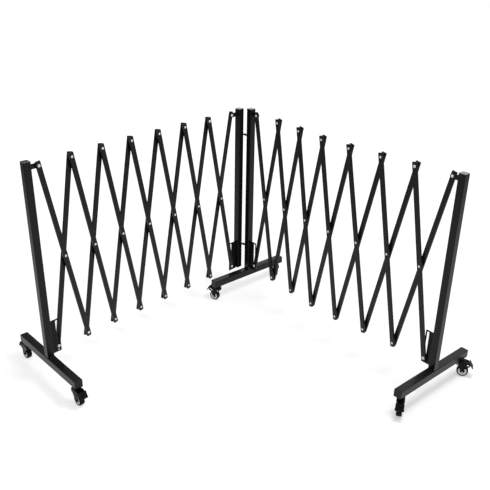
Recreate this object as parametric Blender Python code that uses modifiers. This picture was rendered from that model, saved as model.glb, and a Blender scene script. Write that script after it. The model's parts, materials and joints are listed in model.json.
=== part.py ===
"""Expandable safety barrier: two lattice panels on wheeled stands, hinged at the middle.

World frame: metres, Z up, floor at zero. The origin lies under the middle of the barrier,
and the open side of the corner that the two panels make looks toward minus Y.
"""

import math

import bmesh
import bpy
from mathutils import Matrix, Vector

# Lattice
BAY_COUNT = 7
BAR_PIVOTS = 0.8345
BAR_WIDTH = 0.0225
BAR_THICKNESS = 0.008
BAR_END = 0.018
PLATE_THICKNESS = 0.003
PLATE_CLEARANCE = 0.00175
LAYER_GAP = PLATE_THICKNESS + 2 * PLATE_CLEARANCE
LEFT_PITCH = 0.1528
RIGHT_PITCH = 0.1577

# How far each panel is bowed in plan toward the viewer, and each column's share of that
LEFT_BOW = -0.0136
RIGHT_BOW = 0.0416
LEFT_BOW_SHARES = (0.0, 0.48, 0.89, 1.0, 0.86, 0.76, 0.54, 0.0)
RIGHT_BOW_SHARES = (0.0, 0.21, 0.60, 0.985, 1.0, 0.62, 0.28, 0.0)

# Pivot pins and their heads
PIN_RADIUS = 0.004
PIN_CLEARANCE = 0.0003
HEAD_FLANGE = 0.0013
HEAD_HEIGHT = 0.0018
END_HEAD_FLANGE = 0.0024
PIN_SIDES = 8
OVERLAP = 0.001

# Plan angles of the two panels and of the left stand, in degrees
LEFT_TURN = 47.48
RIGHT_TURN = -48.86
LEFT_STAND_TURN = -4.23

# Stands
POST_SIZE = 0.031
POST_ABOVE_PIVOT = 0.0255
BEAM_WIDTH = 0.036
BEAM_HEIGHT = 0.036
BEAM_LENGTH = 0.479
LATTICE_ABOVE_BEAM = 0.031
TUBE_EDGE = 0.002
PIECE_GAP = 0.0003
HINGED_POST_LIFT = 0.010
END_REACH = 0.0477
MIDDLE_RIGHT_REACH = 0.0487
MIDDLE_LEFT_REACH = 0.0548

# Top brackets and lower slide guides
BRACKET_HEIGHT = 0.021
SLOT_PIN_RADIUS = 0.005
SLOT_CLEARANCE = 0.0004
SLOT_ABOVE_PIVOT = 0.1235
SLOT_BELOW_PIVOT = 0.0140
GUIDE_WALL = 0.006

# Middle hinge
HINGE_SIDE = 0.007
HINGE_FRONT = 0.003
HINGE_ABOVE_BEAM = 0.143
HINGE_BELOW_POST_TOP = 0.132
HINGE_LUG_RADIUS = 0.0065
HINGE_LUG_HEIGHT = 0.006
HINGE_PIN_RADIUS = 0.003
HINGE_HEAD_RADIUS = 0.005
HINGE_HEAD_HEIGHT = 0.002

# Casters, measured from the swivel axis toward the trailing side
CASTER_INSET = 0.031
CASTER_TRAIL = 0.020
WHEEL_RADIUS = 0.0255
WHEEL_WIDTH = 0.024
WHEEL_SIDES = 18
WHEEL_CLEARANCE = 0.002
TYRE_ROUND = 0.004
TYRE_DEPTH = 0.006
HUB_RECESS = 0.002
HUB_BOSS_RADIUS = 0.0065
AXLE_RADIUS = 0.003
AXLE_END = 0.003
RACE_RADIUS = 0.0145
RACE_HEIGHT = 0.010
CROWN_HEIGHT = 0.003
CROWN_ABOVE_WHEEL = 0.0237
LEG_THICKNESS = 0.003
LEG_BACK = 0.010
LEG_FOOT_RADIUS = 0.007
BACK_ROLL_RADIUS = 0.0065
BACK_ROLL_X = -0.006
BACK_ROLL_DROP = 0.015
EAR_SHOULDER = 0.030
EAR_ROOT = 0.034
EAR_ROOT_DROP = 0.004
EAR_TOP_END = 0.0425
EAR_TOP_DROP = 0.0052
EAR_END = 0.049
EAR_END_DROP = 0.0217
EAR_HEIGHT = 0.0287
EAR_HOLE_RADIUS = 0.0038
EAR_HOLES_X = (0.0305, 0.040)
EAR_HOLE_DROPS = (0.0177, 0.0132)
BRAKE_PIVOT_X = 0.014
BRAKE_PIVOT_DROP = 0.011
BRAKE_PIVOT_RADIUS = 0.0025
BRAKE_THICKNESS = 0.003
BRAKE_CLEARANCE = 0.0042
BRAKE_SHOE_ROOT_X = 0.028
BRAKE_SHOE_ANGLE = 74.0
PEDAL_WIDTH = 0.036
PEDAL_OUT = 0.0027
PEDAL_RISE = 0.0103
PEDAL_DROP = 0.0167
PEDAL_SLANT_SHARE = 0.6

# Swivel headings of the six casters in degrees, from the stand's own X axis
HEADINGS = {
    "left_front": -88.0,
    "left_rear": 90.0,
    "centre_front": -160.0,
    "centre_rear": 150.0,
    "right_front": -57.0,
    "right_rear": 31.0,
}

# What follows from the sizes above
LEG_GAP = WHEEL_WIDTH + 2 * WHEEL_CLEARANCE
CROWN_LOW = 2 * WHEEL_RADIUS + CROWN_ABOVE_WHEEL
BEAM_BOTTOM = CROWN_LOW + CROWN_HEIGHT + RACE_HEIGHT + PIECE_GAP
BEAM_TOP = BEAM_BOTTOM + BEAM_HEIGHT
TOP_PIVOT_HEIGHT = BEAM_TOP + LATTICE_ABOVE_BEAM + math.sqrt(BAR_PIVOTS ** 2 - LEFT_PITCH ** 2)
POST_TOP = TOP_PIVOT_HEIGHT + POST_ABOVE_PIVOT
HINGE_HEIGHTS = (BEAM_TOP + HINGE_ABOVE_BEAM, POST_TOP - HINGE_BELOW_POST_TOP)
SLOT_HALF = SLOT_PIN_RADIUS + SLOT_CLEARANCE
FRONT_Y = -(LAYER_GAP + BAR_THICKNESS) / 2
REAR_Y = -FRONT_Y

COLOURS = {
    "bar": (0.030, 0.030, 0.031, 1.0),
    "tube": (0.034, 0.034, 0.035, 1.0),
    "plate": (0.026, 0.026, 0.027, 1.0),
    "pin": (0.55, 0.55, 0.56, 1.0),
    "fork": (0.028, 0.028, 0.030, 1.0),
    "wheel": (0.020, 0.020, 0.021, 1.0),
    "brake": (0.024, 0.024, 0.026, 1.0),
}


def clear_scene():
    """Remove every object and every loose block that a new file starts with."""
    for obj in list(bpy.data.objects):
        bpy.data.objects.remove(obj, do_unlink=True)
    for mesh in list(bpy.data.meshes):
        bpy.data.meshes.remove(mesh)
    for material in list(bpy.data.materials):
        bpy.data.materials.remove(material)
    for collection in list(bpy.data.collections):
        bpy.data.collections.remove(collection)


class Shop:
    """The two collections and the helpers that make, cut and join pieces."""

    def __init__(self):
        self.parts = bpy.data.collections.new("expandable_safety_barrier")
        self.cutters = bpy.data.collections.new("cutters")
        bpy.context.scene.collection.children.link(self.parts)
        bpy.context.scene.collection.children.link(self.cutters)

    def material(self, name, kind):
        """A Principled material of the given kind of finish, for one piece."""
        material = bpy.data.materials.new(name)
        material.use_nodes = True
        shader = material.node_tree.nodes["Principled BSDF"]
        shader.inputs["Base Color"].default_value = COLOURS[kind]
        shader.inputs["Roughness"].default_value = 0.5
        shader.inputs["Metallic"].default_value = 1.0 if kind == "pin" else 0.0
        material.diffuse_color = COLOURS[kind]
        return material

    def piece(self, name, mesh, matrix, kind):
        """Put a mesh into the parts collection under its own name and finish."""
        mesh.name = name
        obj = bpy.data.objects.new(name, mesh)
        obj.matrix_world = matrix
        mesh.materials.append(self.material(name + "_finish", kind))
        self.parts.objects.link(obj)
        return obj

    def tool(self, mesh, matrix):
        """Put a mesh into the cutters collection, hidden from renders."""
        obj = bpy.data.objects.new("cutter", mesh)
        obj.matrix_world = matrix
        obj.hide_render = True
        obj.display_type = "WIRE"
        self.cutters.objects.link(obj)
        return obj

    def combine(self, obj, mesh, matrix, operation):
        """Join a mesh to a piece, or cut it away, with an exact Boolean."""
        modifier = obj.modifiers.new(operation.lower(), "BOOLEAN")
        modifier.operation = operation
        modifier.solver = "EXACT"
        modifier.object = self.tool(mesh, matrix)

    def join(self, obj, mesh, matrix):
        """Join a mesh to a piece."""
        self.combine(obj, mesh, matrix, "UNION")

    def cut(self, obj, mesh, matrix):
        """Cut a mesh away from a piece."""
        self.combine(obj, mesh, matrix, "DIFFERENCE")


def box_mesh(low, high, edge=0.0, along=None, slope=0.0):
    """A box between two corners, its long edges broken, and leaning in Y by the slope over Z."""
    low, high = Vector(low), Vector(high)
    bm = bmesh.new()
    bmesh.ops.create_cube(bm, size=1.0)
    bmesh.ops.scale(bm, vec=high - low, verts=bm.verts)
    bmesh.ops.translate(bm, vec=(low + high) / 2, verts=bm.verts)
    if edge:
        chosen = [e for e in bm.edges if abs((e.verts[0].co - e.verts[1].co).normalized()[along]) > 0.5]
        bmesh.ops.bevel(bm, geom=chosen, offset=edge, segments=1, affect="EDGES")
    for vert in bm.verts:
        vert.co.y += slope * vert.co.z
    mesh = bpy.data.meshes.new("box")
    bm.to_mesh(mesh)
    bm.free()
    return mesh


def rod_mesh(radius, start, end, sides=PIN_SIDES, smooth=True):
    """A round rod between two points."""
    start, end = Vector(start), Vector(end)
    length = (end - start).length
    turn = Vector((0.0, 0.0, 1.0)).rotation_difference(end - start).to_matrix().to_4x4()
    bm = bmesh.new()
    bmesh.ops.create_cone(bm, cap_ends=True, segments=sides, radius1=radius, radius2=radius, depth=length)
    bmesh.ops.transform(bm, matrix=Matrix.Translation((start + end) / 2) @ turn, verts=bm.verts)
    for face in bm.faces:
        face.smooth = smooth and len(face.verts) == 4
    mesh = bpy.data.meshes.new("rod")
    bm.to_mesh(mesh)
    bm.free()
    return mesh


def hole_radius(pin_radius):
    """The radius of a many-sided hole that a round pin can turn in."""
    return (pin_radius + PIN_CLEARANCE) / math.cos(math.pi / PIN_SIDES)


def turned_mesh(profile, sides):
    """A ring of points in X (radius) and Z (along the axle), turned about the Z axis."""
    mesh = bpy.data.meshes.new("turned")
    edges = [(i, (i + 1) % len(profile)) for i in range(len(profile))]
    mesh.from_pydata([(radius, 0.0, along) for radius, along in profile], edges, [])
    obj = bpy.data.objects.new("turned", mesh)
    bpy.context.scene.collection.objects.link(obj)
    screw = obj.modifiers.new("turn", "SCREW")
    screw.steps = sides
    screw.render_steps = sides
    screw.use_merge_vertices = True
    screw.merge_threshold = PIECE_GAP / 10
    screw.use_smooth_shade = True
    bpy.context.view_layer.update()
    evaluated = obj.evaluated_get(bpy.context.evaluated_depsgraph_get())
    turned = bpy.data.meshes.new_from_object(evaluated)
    bpy.data.objects.remove(obj, do_unlink=True)
    bpy.data.meshes.remove(mesh)
    return turned


def slanted_box(start, end, width, thickness):
    """A flat strip from one point of the XZ plane to another, its width along Y."""
    start, end = Vector(start), Vector(end)
    middle = (start + end) / 2
    tilt = math.atan2(end.x - start.x, end.z - start.z)
    half = (end - start).length / 2
    mesh = box_mesh((-thickness / 2, -width / 2, -half), (thickness / 2, width / 2, half))
    mesh.transform(Matrix.Translation(middle) @ Matrix.Rotation(tilt, 4, "Y"))
    return mesh


def place(x, y, z, turn=0.0):
    """A frame at a point, turned about the vertical by an angle in degrees."""
    return Matrix.Translation((x, y, z)) @ Matrix.Rotation(math.radians(turn), 4, "Z")


def plate_mesh(points, low_y, high_y):
    """A flat plate with the given outline in the XZ plane, between two planes of Y."""
    curve = bpy.data.curves.new("outline", "CURVE")
    curve.dimensions = "2D"
    curve.fill_mode = "BOTH"
    curve.extrude = (high_y - low_y) / 2
    spline = curve.splines.new("POLY")
    spline.points.add(len(points) - 1)
    for point, (x, z) in zip(spline.points, points):
        point.co = (x, z, 0.0, 1.0)
    spline.use_cyclic_u = True
    guide = bpy.data.objects.new("outline", curve)
    bpy.context.scene.collection.objects.link(guide)
    bpy.context.view_layer.update()
    evaluated = guide.evaluated_get(bpy.context.evaluated_depsgraph_get())
    mesh = bpy.data.meshes.new_from_object(evaluated)
    bpy.data.objects.remove(guide, do_unlink=True)
    bpy.data.curves.remove(curve)
    bm = bmesh.new()
    bm.from_mesh(mesh)
    bmesh.ops.remove_doubles(bm, verts=bm.verts, dist=PIECE_GAP / 10)
    turn = Matrix.Translation((0, (low_y + high_y) / 2, 0)) @ Matrix.Rotation(math.pi / 2, 4, "X")
    bmesh.ops.transform(bm, matrix=turn, verts=bm.verts)
    bmesh.ops.recalc_face_normals(bm, faces=bm.faces)
    bm.to_mesh(mesh)
    bm.free()
    return mesh


class Panel:
    """One lattice panel: its frame, and the places of its pivots in that frame."""

    def __init__(self, name, frame, first_x, pitch, bow, bow_shares, root_at_left):
        self.name = name
        self.frame = frame
        self.first_x = first_x
        self.pitch = pitch
        self.bows = [-bow * share for share in bow_shares]
        self.tilt = math.asin(pitch / BAR_PIVOTS)
        self.rise = BAR_PIVOTS * math.cos(self.tilt)
        self.bottom = TOP_PIVOT_HEIGHT - self.rise
        self.root_at_left = root_at_left

    def pivot(self, level, index):
        """The place of a pivot in the panel's frame: level T, M or B, counted from the left."""
        if level == "M":
            x = self.first_x + (index - 1) * self.pitch + self.pitch / 2
            return Vector((x, (self.bows[index - 1] + self.bows[index]) / 2, self.bottom + self.rise / 2))
        height = TOP_PIVOT_HEIGHT if level == "T" else self.bottom
        return Vector((self.first_x + index * self.pitch, self.bows[index], height))

    def hinge_of(self, index, front):
        """Which pivot a bar turns on: its level and its number."""
        odd = index % 2 == 1
        if self.root_at_left:
            if front:
                return ("T", index - 1) if odd else ("M", index)
            return ("M", index) if odd else ("B", index - 1)
        if front:
            return ("M", index) if odd else ("B", index)
        return ("T", index) if odd else ("M", index)

    def bar(self, shop, index, front):
        """One bar with its pins or with the holes for its neighbours' pins."""
        level, number = self.hinge_of(index, front)
        origin = self.pivot(level, number)
        tilt = -self.tilt if front else self.tilt
        drop = {"T": BAR_PIVOTS, "M": BAR_PIVOTS / 2, "B": 0.0}[level]
        low, high = -drop, BAR_PIVOTS - drop
        side = FRONT_Y if front else REAR_Y
        top_bow, foot_bow = (self.bows[index - 1], self.bows[index]) if front else \
            (self.bows[index], self.bows[index - 1])
        slope = (top_bow - foot_bow) / BAR_PIVOTS
        mesh = box_mesh((-BAR_WIDTH / 2, side - BAR_THICKNESS / 2, low - BAR_END),
                        (BAR_WIDTH / 2, side + BAR_THICKNESS / 2, high + BAR_END), slope=slope)
        matrix = self.frame @ Matrix.Translation(origin) @ Matrix.Rotation(tilt, 4, "Y")
        word = "front" if front else "rear"
        obj = shop.piece(f"{self.name}_bar_{index}_{word}", mesh, matrix, "bar")
        middle = (low + high) / 2
        for height, role in ((high, "top"), (middle, "middle"), (low, "foot")):
            self.fit_pin(shop, obj, matrix, index, front, role, height, slope * height)
        return obj

    def fit_pin(self, shop, obj, matrix, index, front, role, height, shift):
        """Give a bar its own headed pin at one pivot, or the hole for its neighbour's pin."""
        end_role = "foot" if front else "top"
        at_plate = (index == 1 and role == ("top" if front else "foot")) or \
            (index == BAY_COUNT and role == end_role)
        side = 1 if front else -1
        centre = shift - side * (LAYER_GAP + BAR_THICKNESS) / 2

        def rod(radius, near, far):
            return rod_mesh(radius, (0, centre + side * near, height), (0, centre + side * far, height))

        if not front and not at_plate:
            shop.cut(obj, rod(hole_radius(PIN_RADIUS), -BAR_THICKNESS, BAR_THICKNESS), matrix)
            return
        radius = SLOT_PIN_RADIUS if at_plate and role == "foot" else PIN_RADIUS
        flange = END_HEAD_FLANGE if index in (1, BAY_COUNT) and role != "middle" else HEAD_FLANGE
        face = BAR_THICKNESS / 2
        far = face + LAYER_GAP + BAR_THICKNESS + PIN_CLEARANCE
        if at_plate:
            far = face + PLATE_CLEARANCE + PLATE_THICKNESS + PIN_CLEARANCE
        shop.join(obj, rod(radius, face - OVERLAP, far + OVERLAP), matrix)
        shop.join(obj, rod(radius + flange, -face - HEAD_HEIGHT, OVERLAP - face), matrix)
        shop.join(obj, rod(radius + flange, far, far + HEAD_HEIGHT), matrix)

    def build(self, shop):
        """All the bars of the panel."""
        for index in range(1, BAY_COUNT + 1):
            self.bar(shop, index, True)
            self.bar(shop, index, False)


def add_post(shop, name, frame, low, plate_frame, pivot_x, pivot_bow=0.0):
    """A square post with its top bracket, which holds the end pivot of a panel."""
    half = POST_SIZE / 2
    post = shop.piece(name, box_mesh((-half, -half, low), (half, half, POST_TOP), TUBE_EDGE, 2), frame, "tube")
    side = 1 if pivot_x > 0 else -1
    thick = PLATE_THICKNESS / 2
    tall = BRACKET_HEIGHT / 2
    root = side * (half - TUBE_EDGE)
    strap = box_mesh((min(root, pivot_x), -thick, TOP_PIVOT_HEIGHT - tall),
                     (max(root, pivot_x), thick, TOP_PIVOT_HEIGHT + tall))
    shop.join(post, strap, plate_frame)
    centre = Vector((pivot_x, pivot_bow, TOP_PIVOT_HEIGHT))
    reach = Vector((0, thick, 0))
    shop.join(post, rod_mesh(tall, centre - reach, centre + reach, 2 * PIN_SIDES), plate_frame)
    reach = Vector((0, PLATE_THICKNESS, 0))
    shop.cut(post, rod_mesh(hole_radius(PIN_RADIUS), centre - reach, centre + reach), plate_frame)
    return post


def add_guide(shop, name, frame, pivot_x, pivot_height, post_skew=0.0):
    """A flat plate beside a post, with the upright slot that the bottom end pin slides in."""
    side = 1 if pivot_x > 0 else -1
    turned_edge = PLATE_THICKNESS * math.tan(math.radians(abs(post_skew)))
    root = side * (POST_SIZE / 2 + PIECE_GAP + turned_edge)
    outer = pivot_x + side * (SLOT_HALF + GUIDE_WALL)
    thick = PLATE_THICKNESS / 2
    foot, head = pivot_height - SLOT_BELOW_PIVOT, pivot_height + SLOT_ABOVE_PIVOT
    rim = SLOT_HALF + GUIDE_WALL
    plate = box_mesh((min(root, outer), -thick, foot - rim), (max(root, outer), thick, head + rim))
    guide = shop.piece(name, plate, frame, "plate")
    deep = PLATE_THICKNESS
    slot = box_mesh((pivot_x - SLOT_HALF, -deep, foot), (pivot_x + SLOT_HALF, deep, head))
    shop.cut(guide, slot, frame)
    for height in (foot, head):
        shop.cut(guide, rod_mesh(SLOT_HALF, (pivot_x, -deep, height), (pivot_x, deep, height)), frame)
    return guide


def add_beam(shop, name, frame):
    """The base beam across the foot of a stand."""
    half = BEAM_WIDTH / 2
    mesh = box_mesh((-half, -BEAM_LENGTH / 2, BEAM_BOTTOM), (half, BEAM_LENGTH / 2, BEAM_TOP), TUBE_EDGE, 1)
    return shop.piece(name, mesh, frame, "tube")


def add_caster(shop, name, frame):
    """A swivel caster under a frame whose X axis points to the trailing side."""
    axle = Vector((CASTER_TRAIL, 0, WHEEL_RADIUS))
    add_fork(shop, name + "_fork", frame, axle)
    add_wheel(shop, name + "_wheel", frame @ Matrix.Translation(axle) @ Matrix.Rotation(math.pi / 2, 4, "X"))
    add_brake(shop, name + "_brake", frame, axle)


def add_fork(shop, name, frame, axle):
    """The swivel race, the crown, two legs with ears for the brake, and the axle."""
    crown_top = CROWN_LOW + CROWN_HEIGHT
    outer = LEG_GAP / 2 + LEG_THICKNESS
    race = rod_mesh(RACE_RADIUS, (0, 0, crown_top - OVERLAP), (0, 0, crown_top + RACE_HEIGHT), 2 * PIN_SIDES)
    fork = shop.piece(name, race, frame, "fork")
    crown_half = LEG_GAP / 2 + LEG_THICKNESS / 2
    crown = box_mesh((-LEG_BACK - OVERLAP, -crown_half, CROWN_LOW),
                     (EAR_SHOULDER + OVERLAP, crown_half, crown_top))
    shop.join(fork, crown, frame)
    arc = range(PIN_SIDES // 2 + 1)
    foot = [math.pi * step / (PIN_SIDES // 2) for step in arc]
    outline = [(-LEG_BACK, crown_top - OVERLAP), (EAR_SHOULDER, crown_top - OVERLAP),
               (EAR_ROOT, crown_top - EAR_ROOT_DROP), (EAR_TOP_END, crown_top - EAR_TOP_DROP),
               (EAR_END, crown_top - EAR_END_DROP), (EAR_ROOT, crown_top - EAR_HEIGHT)]
    outline += [(axle.x + LEG_FOOT_RADIUS * math.cos(a), axle.z - LEG_FOOT_RADIUS * math.sin(a)) for a in foot]
    for side in (-1, 1):
        low_y, high_y = sorted((side * LEG_GAP / 2, side * outer))
        shop.join(fork, plate_mesh(outline, low_y, high_y), frame)
    nut = Vector((0, outer + AXLE_END, 0))
    shop.join(fork, rod_mesh(AXLE_RADIUS, axle - nut, axle + nut), frame)
    roll = Vector((BACK_ROLL_X, 0, crown_top - BACK_ROLL_DROP))
    reach = Vector((0, crown_half, 0))
    shop.join(fork, rod_mesh(BACK_ROLL_RADIUS, roll - reach, roll + reach, 2 * PIN_SIDES), frame)
    hole = Vector((0, outer + OVERLAP, 0))
    pivot = Vector((BRAKE_PIVOT_X, 0, crown_top - BRAKE_PIVOT_DROP))
    shop.cut(fork, rod_mesh(hole_radius(BRAKE_PIVOT_RADIUS), pivot - hole, pivot + hole), frame)
    for hole_x, hole_drop in zip(EAR_HOLES_X, EAR_HOLE_DROPS):
        centre = Vector((hole_x, 0, crown_top - hole_drop))
        shop.cut(fork, rod_mesh(EAR_HOLE_RADIUS, centre - hole, centre + hole, 2 * PIN_SIDES), frame)
    return fork


def add_wheel(shop, name, frame):
    """The wheel: a round tyre on a dished hub with a bore for the axle."""
    half = WHEEL_WIDTH / 2
    bore = AXLE_RADIUS + PIN_CLEARANCE
    tread = WHEEL_RADIUS / math.cos(math.pi / WHEEL_SIDES)
    rim = tread - TYRE_DEPTH
    boss = LEG_GAP / 2 - PIECE_GAP
    side = [(bore, boss), (HUB_BOSS_RADIUS, boss), (HUB_BOSS_RADIUS, half - HUB_RECESS),
            (rim, half - HUB_RECESS), (rim, half), (tread - TYRE_ROUND, half), (tread, half - TYRE_ROUND)]
    profile = side + [(radius, -along) for radius, along in reversed(side)]
    return shop.piece(name, turned_mesh(profile, WHEEL_SIDES), frame, "wheel")


def add_brake(shop, name, frame, axle):
    """The brake lever: a pin in the ears, a shoe behind the tyre and a pedal for the foot."""
    pivot = Vector((BRAKE_PIVOT_X, 0, CROWN_LOW + CROWN_HEIGHT - BRAKE_PIVOT_DROP))
    home = frame @ Matrix.Translation(pivot)
    inner = LEG_GAP / 2 - PIECE_GAP
    outer = LEG_GAP / 2 + LEG_THICKNESS
    pin = rod_mesh(BRAKE_PIVOT_RADIUS, (0, -outer, 0), (0, outer, 0))
    brake = shop.piece(name, pin, home, "brake")
    reach = WHEEL_RADIUS + BRAKE_CLEARANCE
    angle = math.radians(BRAKE_SHOE_ANGLE)
    shoe = axle + Vector((reach * math.cos(angle), 0, reach * math.sin(angle))) - pivot
    shoe_root = Vector((BRAKE_SHOE_ROOT_X - pivot.x, 0, 0))
    shop.join(brake, slanted_box(shoe_root, shoe, 2 * inner - OVERLAP, BRAKE_THICKNESS), home)
    arm_end = Vector((EAR_END + PEDAL_OUT - pivot.x, 0, 0))
    shop.join(brake, slanted_box((0, 0, 0), arm_end, 2 * inner, BRAKE_THICKNESS), home)
    down = Vector((PEDAL_SLANT_SHARE, 0, -1))
    pedal = slanted_box(arm_end - PEDAL_RISE * down, arm_end + PEDAL_DROP * down, PEDAL_WIDTH, BRAKE_THICKNESS)
    shop.join(brake, pedal, home)
    return brake


def add_hinge(shop, fixed_post, hinged_post, axis_frame, fixed_frame, hinged_frame):
    """Lugs on the two middle posts, and the pin through each pair."""
    half = POST_SIZE / 2
    inset = half - TUBE_EDGE
    front_y = half + HINGE_FRONT
    fixed_x, hinged_x = -half - HINGE_SIDE, half + HINGE_SIDE
    for number, height in enumerate(HINGE_HEIGHTS):
        seat = height + PIECE_GAP / 2
        levels = ((fixed_post, fixed_frame, fixed_x, height - PIECE_GAP / 2 - HINGE_LUG_HEIGHT),
                  (hinged_post, hinged_frame, hinged_x, seat))
        for post, frame, lug_x, low in levels:
            high = low + HINGE_LUG_HEIGHT
            toward = -1 if lug_x < 0 else 1
            ends = sorted((toward * (inset - HINGE_LUG_RADIUS), lug_x))
            shop.join(post, box_mesh((ends[0], -front_y, low), (ends[1], -inset, high)), frame)
            centre = (lug_x, -front_y)
            shop.join(post, rod_mesh(HINGE_LUG_RADIUS, (*centre, low), (*centre, high)), frame)
            ends = (*centre, low - OVERLAP), (*centre, high + OVERLAP)
            shop.cut(post, rod_mesh(hole_radius(HINGE_PIN_RADIUS), *ends), frame)
        word = ("lower", "upper")[number]
        low = height - PIECE_GAP - HINGE_LUG_HEIGHT - PIECE_GAP
        high = height + PIECE_GAP + HINGE_LUG_HEIGHT + PIECE_GAP
        pin = shop.piece(f"hinge_pin_{word}",
                         rod_mesh(HINGE_PIN_RADIUS, (0, 0, low - OVERLAP), (0, 0, high + OVERLAP)),
                         axis_frame, "pin")
        for start, end in ((low - HINGE_HEAD_HEIGHT, low), (high, high + HINGE_HEAD_HEIGHT)):
            shop.join(pin, rod_mesh(HINGE_HEAD_RADIUS, (0, 0, start), (0, 0, end)), axis_frame)


def layout():
    """The frames of the two panels, the three stands and the middle hinge."""
    half = POST_SIZE / 2
    front_y = half + HINGE_FRONT
    fixed = place(0, 0, 0, RIGHT_TURN)
    axis = fixed @ Vector((-half - HINGE_SIDE, -front_y, 0))
    turned = Matrix.Rotation(math.radians(LEFT_TURN), 4, "Z")
    hinged_origin = axis - turned @ Vector((half + HINGE_SIDE, -front_y, 0))
    hinged = place(hinged_origin.x, hinged_origin.y, 0, LEFT_TURN)
    right = Panel("right", fixed, MIDDLE_RIGHT_REACH, RIGHT_PITCH, RIGHT_BOW, RIGHT_BOW_SHARES, True)
    left_x = -MIDDLE_LEFT_REACH - BAY_COUNT * LEFT_PITCH
    left = Panel("left", hinged, left_x, LEFT_PITCH, LEFT_BOW, LEFT_BOW_SHARES, False)
    right_end = fixed @ Matrix.Translation((right.first_x + BAY_COUNT * RIGHT_PITCH + END_REACH, 0, 0))
    pivot = hinged @ Vector((left_x, 0, 0))
    left_end = place(pivot.x, pivot.y, 0, LEFT_TURN + LEFT_STAND_TURN) @ Matrix.Translation((-END_REACH, 0, 0))
    left_plate = place(pivot.x, pivot.y, 0, LEFT_TURN) @ Matrix.Translation((-END_REACH, 0, 0))
    axis_frame = place(axis.x, axis.y, 0, 0.0)
    return {"fixed": fixed, "hinged": hinged, "right": right, "left": left, "right_end": right_end,
            "left_end": left_end, "left_plate": left_plate, "axis": axis_frame}


def caster_frames(frames):
    """The frame of each caster at its swivel axis on the floor."""
    reach = BEAM_LENGTH / 2 - CASTER_INSET
    stands = {"left": frames["left_end"], "centre": frames["fixed"], "right": frames["right_end"]}
    result = {}
    for key, heading in HEADINGS.items():
        stand, end = key.split("_")
        y = -reach if end == "front" else reach
        turn = Matrix.Rotation(math.radians(heading), 4, "Z")
        result[key] = stands[stand] @ Matrix.Translation((0, y, 0)) @ turn
    return result


def centre_on_floor(shop):
    """Move everything so that the origin lies on the floor under the middle of the barrier."""
    bpy.context.view_layer.update()
    depsgraph = bpy.context.evaluated_depsgraph_get()
    points = []
    for obj in shop.parts.objects:
        evaluated = obj.evaluated_get(depsgraph)
        points += [evaluated.matrix_world @ vert.co for vert in evaluated.data.vertices]
    middle = [(min(p[axis] for p in points) + max(p[axis] for p in points)) / 2 for axis in (0, 1)]
    shift = Matrix.Translation((-middle[0], -middle[1], 0))
    for obj in [*shop.parts.objects, *shop.cutters.objects]:
        obj.matrix_world = shift @ obj.matrix_world


def main():
    """Build the whole barrier."""
    clear_scene()
    shop = Shop()
    frames = layout()
    post_low = BEAM_TOP + PIECE_GAP
    fixed_post = add_post(shop, "centre_post", frames["fixed"], post_low, frames["fixed"], MIDDLE_RIGHT_REACH)
    hinged_post = add_post(shop, "hinged_post", frames["hinged"], post_low + HINGED_POST_LIFT,
                           frames["hinged"], -MIDDLE_LEFT_REACH)
    add_post(shop, "right_post", frames["right_end"], post_low, frames["right_end"], -END_REACH)
    add_post(shop, "left_post", frames["left_end"], post_low, frames["left_plate"], END_REACH)
    add_guide(shop, "centre_guide", frames["fixed"], MIDDLE_RIGHT_REACH, frames["right"].bottom)
    add_guide(shop, "hinged_guide", frames["hinged"], -MIDDLE_LEFT_REACH, frames["left"].bottom)
    add_guide(shop, "right_guide", frames["right_end"], -END_REACH, frames["right"].bottom)
    add_guide(shop, "left_guide", frames["left_plate"], END_REACH, frames["left"].bottom, LEFT_STAND_TURN)
    for name, key in (("centre_beam", "fixed"), ("left_beam", "left_end"), ("right_beam", "right_end")):
        add_beam(shop, name, frames[key])
    add_hinge(shop, fixed_post, hinged_post, frames["axis"], frames["fixed"], frames["hinged"])
    frames["right"].build(shop)
    frames["left"].build(shop)
    for key, frame in caster_frames(frames).items():
        add_caster(shop, "caster_" + key, frame)
    centre_on_floor(shop)


main()
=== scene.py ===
"""Expandable safety barrier: finishes, fittings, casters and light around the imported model.

Metres, Z up, floor at zero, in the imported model's own frame.
"""

import json
import logging
import math
from dataclasses import dataclass
from enum import Enum

import bmesh
import bpy
from mathutils import Matrix, Vector


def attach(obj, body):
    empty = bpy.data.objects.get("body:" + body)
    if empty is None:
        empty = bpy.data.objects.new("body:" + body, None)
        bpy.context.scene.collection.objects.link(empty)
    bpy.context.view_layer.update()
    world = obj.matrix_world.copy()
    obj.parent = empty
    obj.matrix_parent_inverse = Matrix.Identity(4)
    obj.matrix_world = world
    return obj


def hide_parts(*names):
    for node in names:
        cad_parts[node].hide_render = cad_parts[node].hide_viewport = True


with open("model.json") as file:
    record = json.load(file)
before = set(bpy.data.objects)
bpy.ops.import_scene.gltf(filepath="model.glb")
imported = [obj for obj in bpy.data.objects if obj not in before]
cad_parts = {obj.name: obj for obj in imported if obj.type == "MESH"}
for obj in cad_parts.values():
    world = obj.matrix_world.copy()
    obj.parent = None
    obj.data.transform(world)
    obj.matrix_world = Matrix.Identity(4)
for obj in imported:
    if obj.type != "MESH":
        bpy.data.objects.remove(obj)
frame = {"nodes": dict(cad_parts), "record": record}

LOG = logging.getLogger("barrier")
Tree = bpy.types.NodeTree
Node = bpy.types.Node
Pair = tuple[float, float]
Mesh = bpy.types.Mesh
Loop = list[Pair]
Parts = list[tuple[Mesh, Matrix]]
Values = dict[str | int, object]

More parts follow.
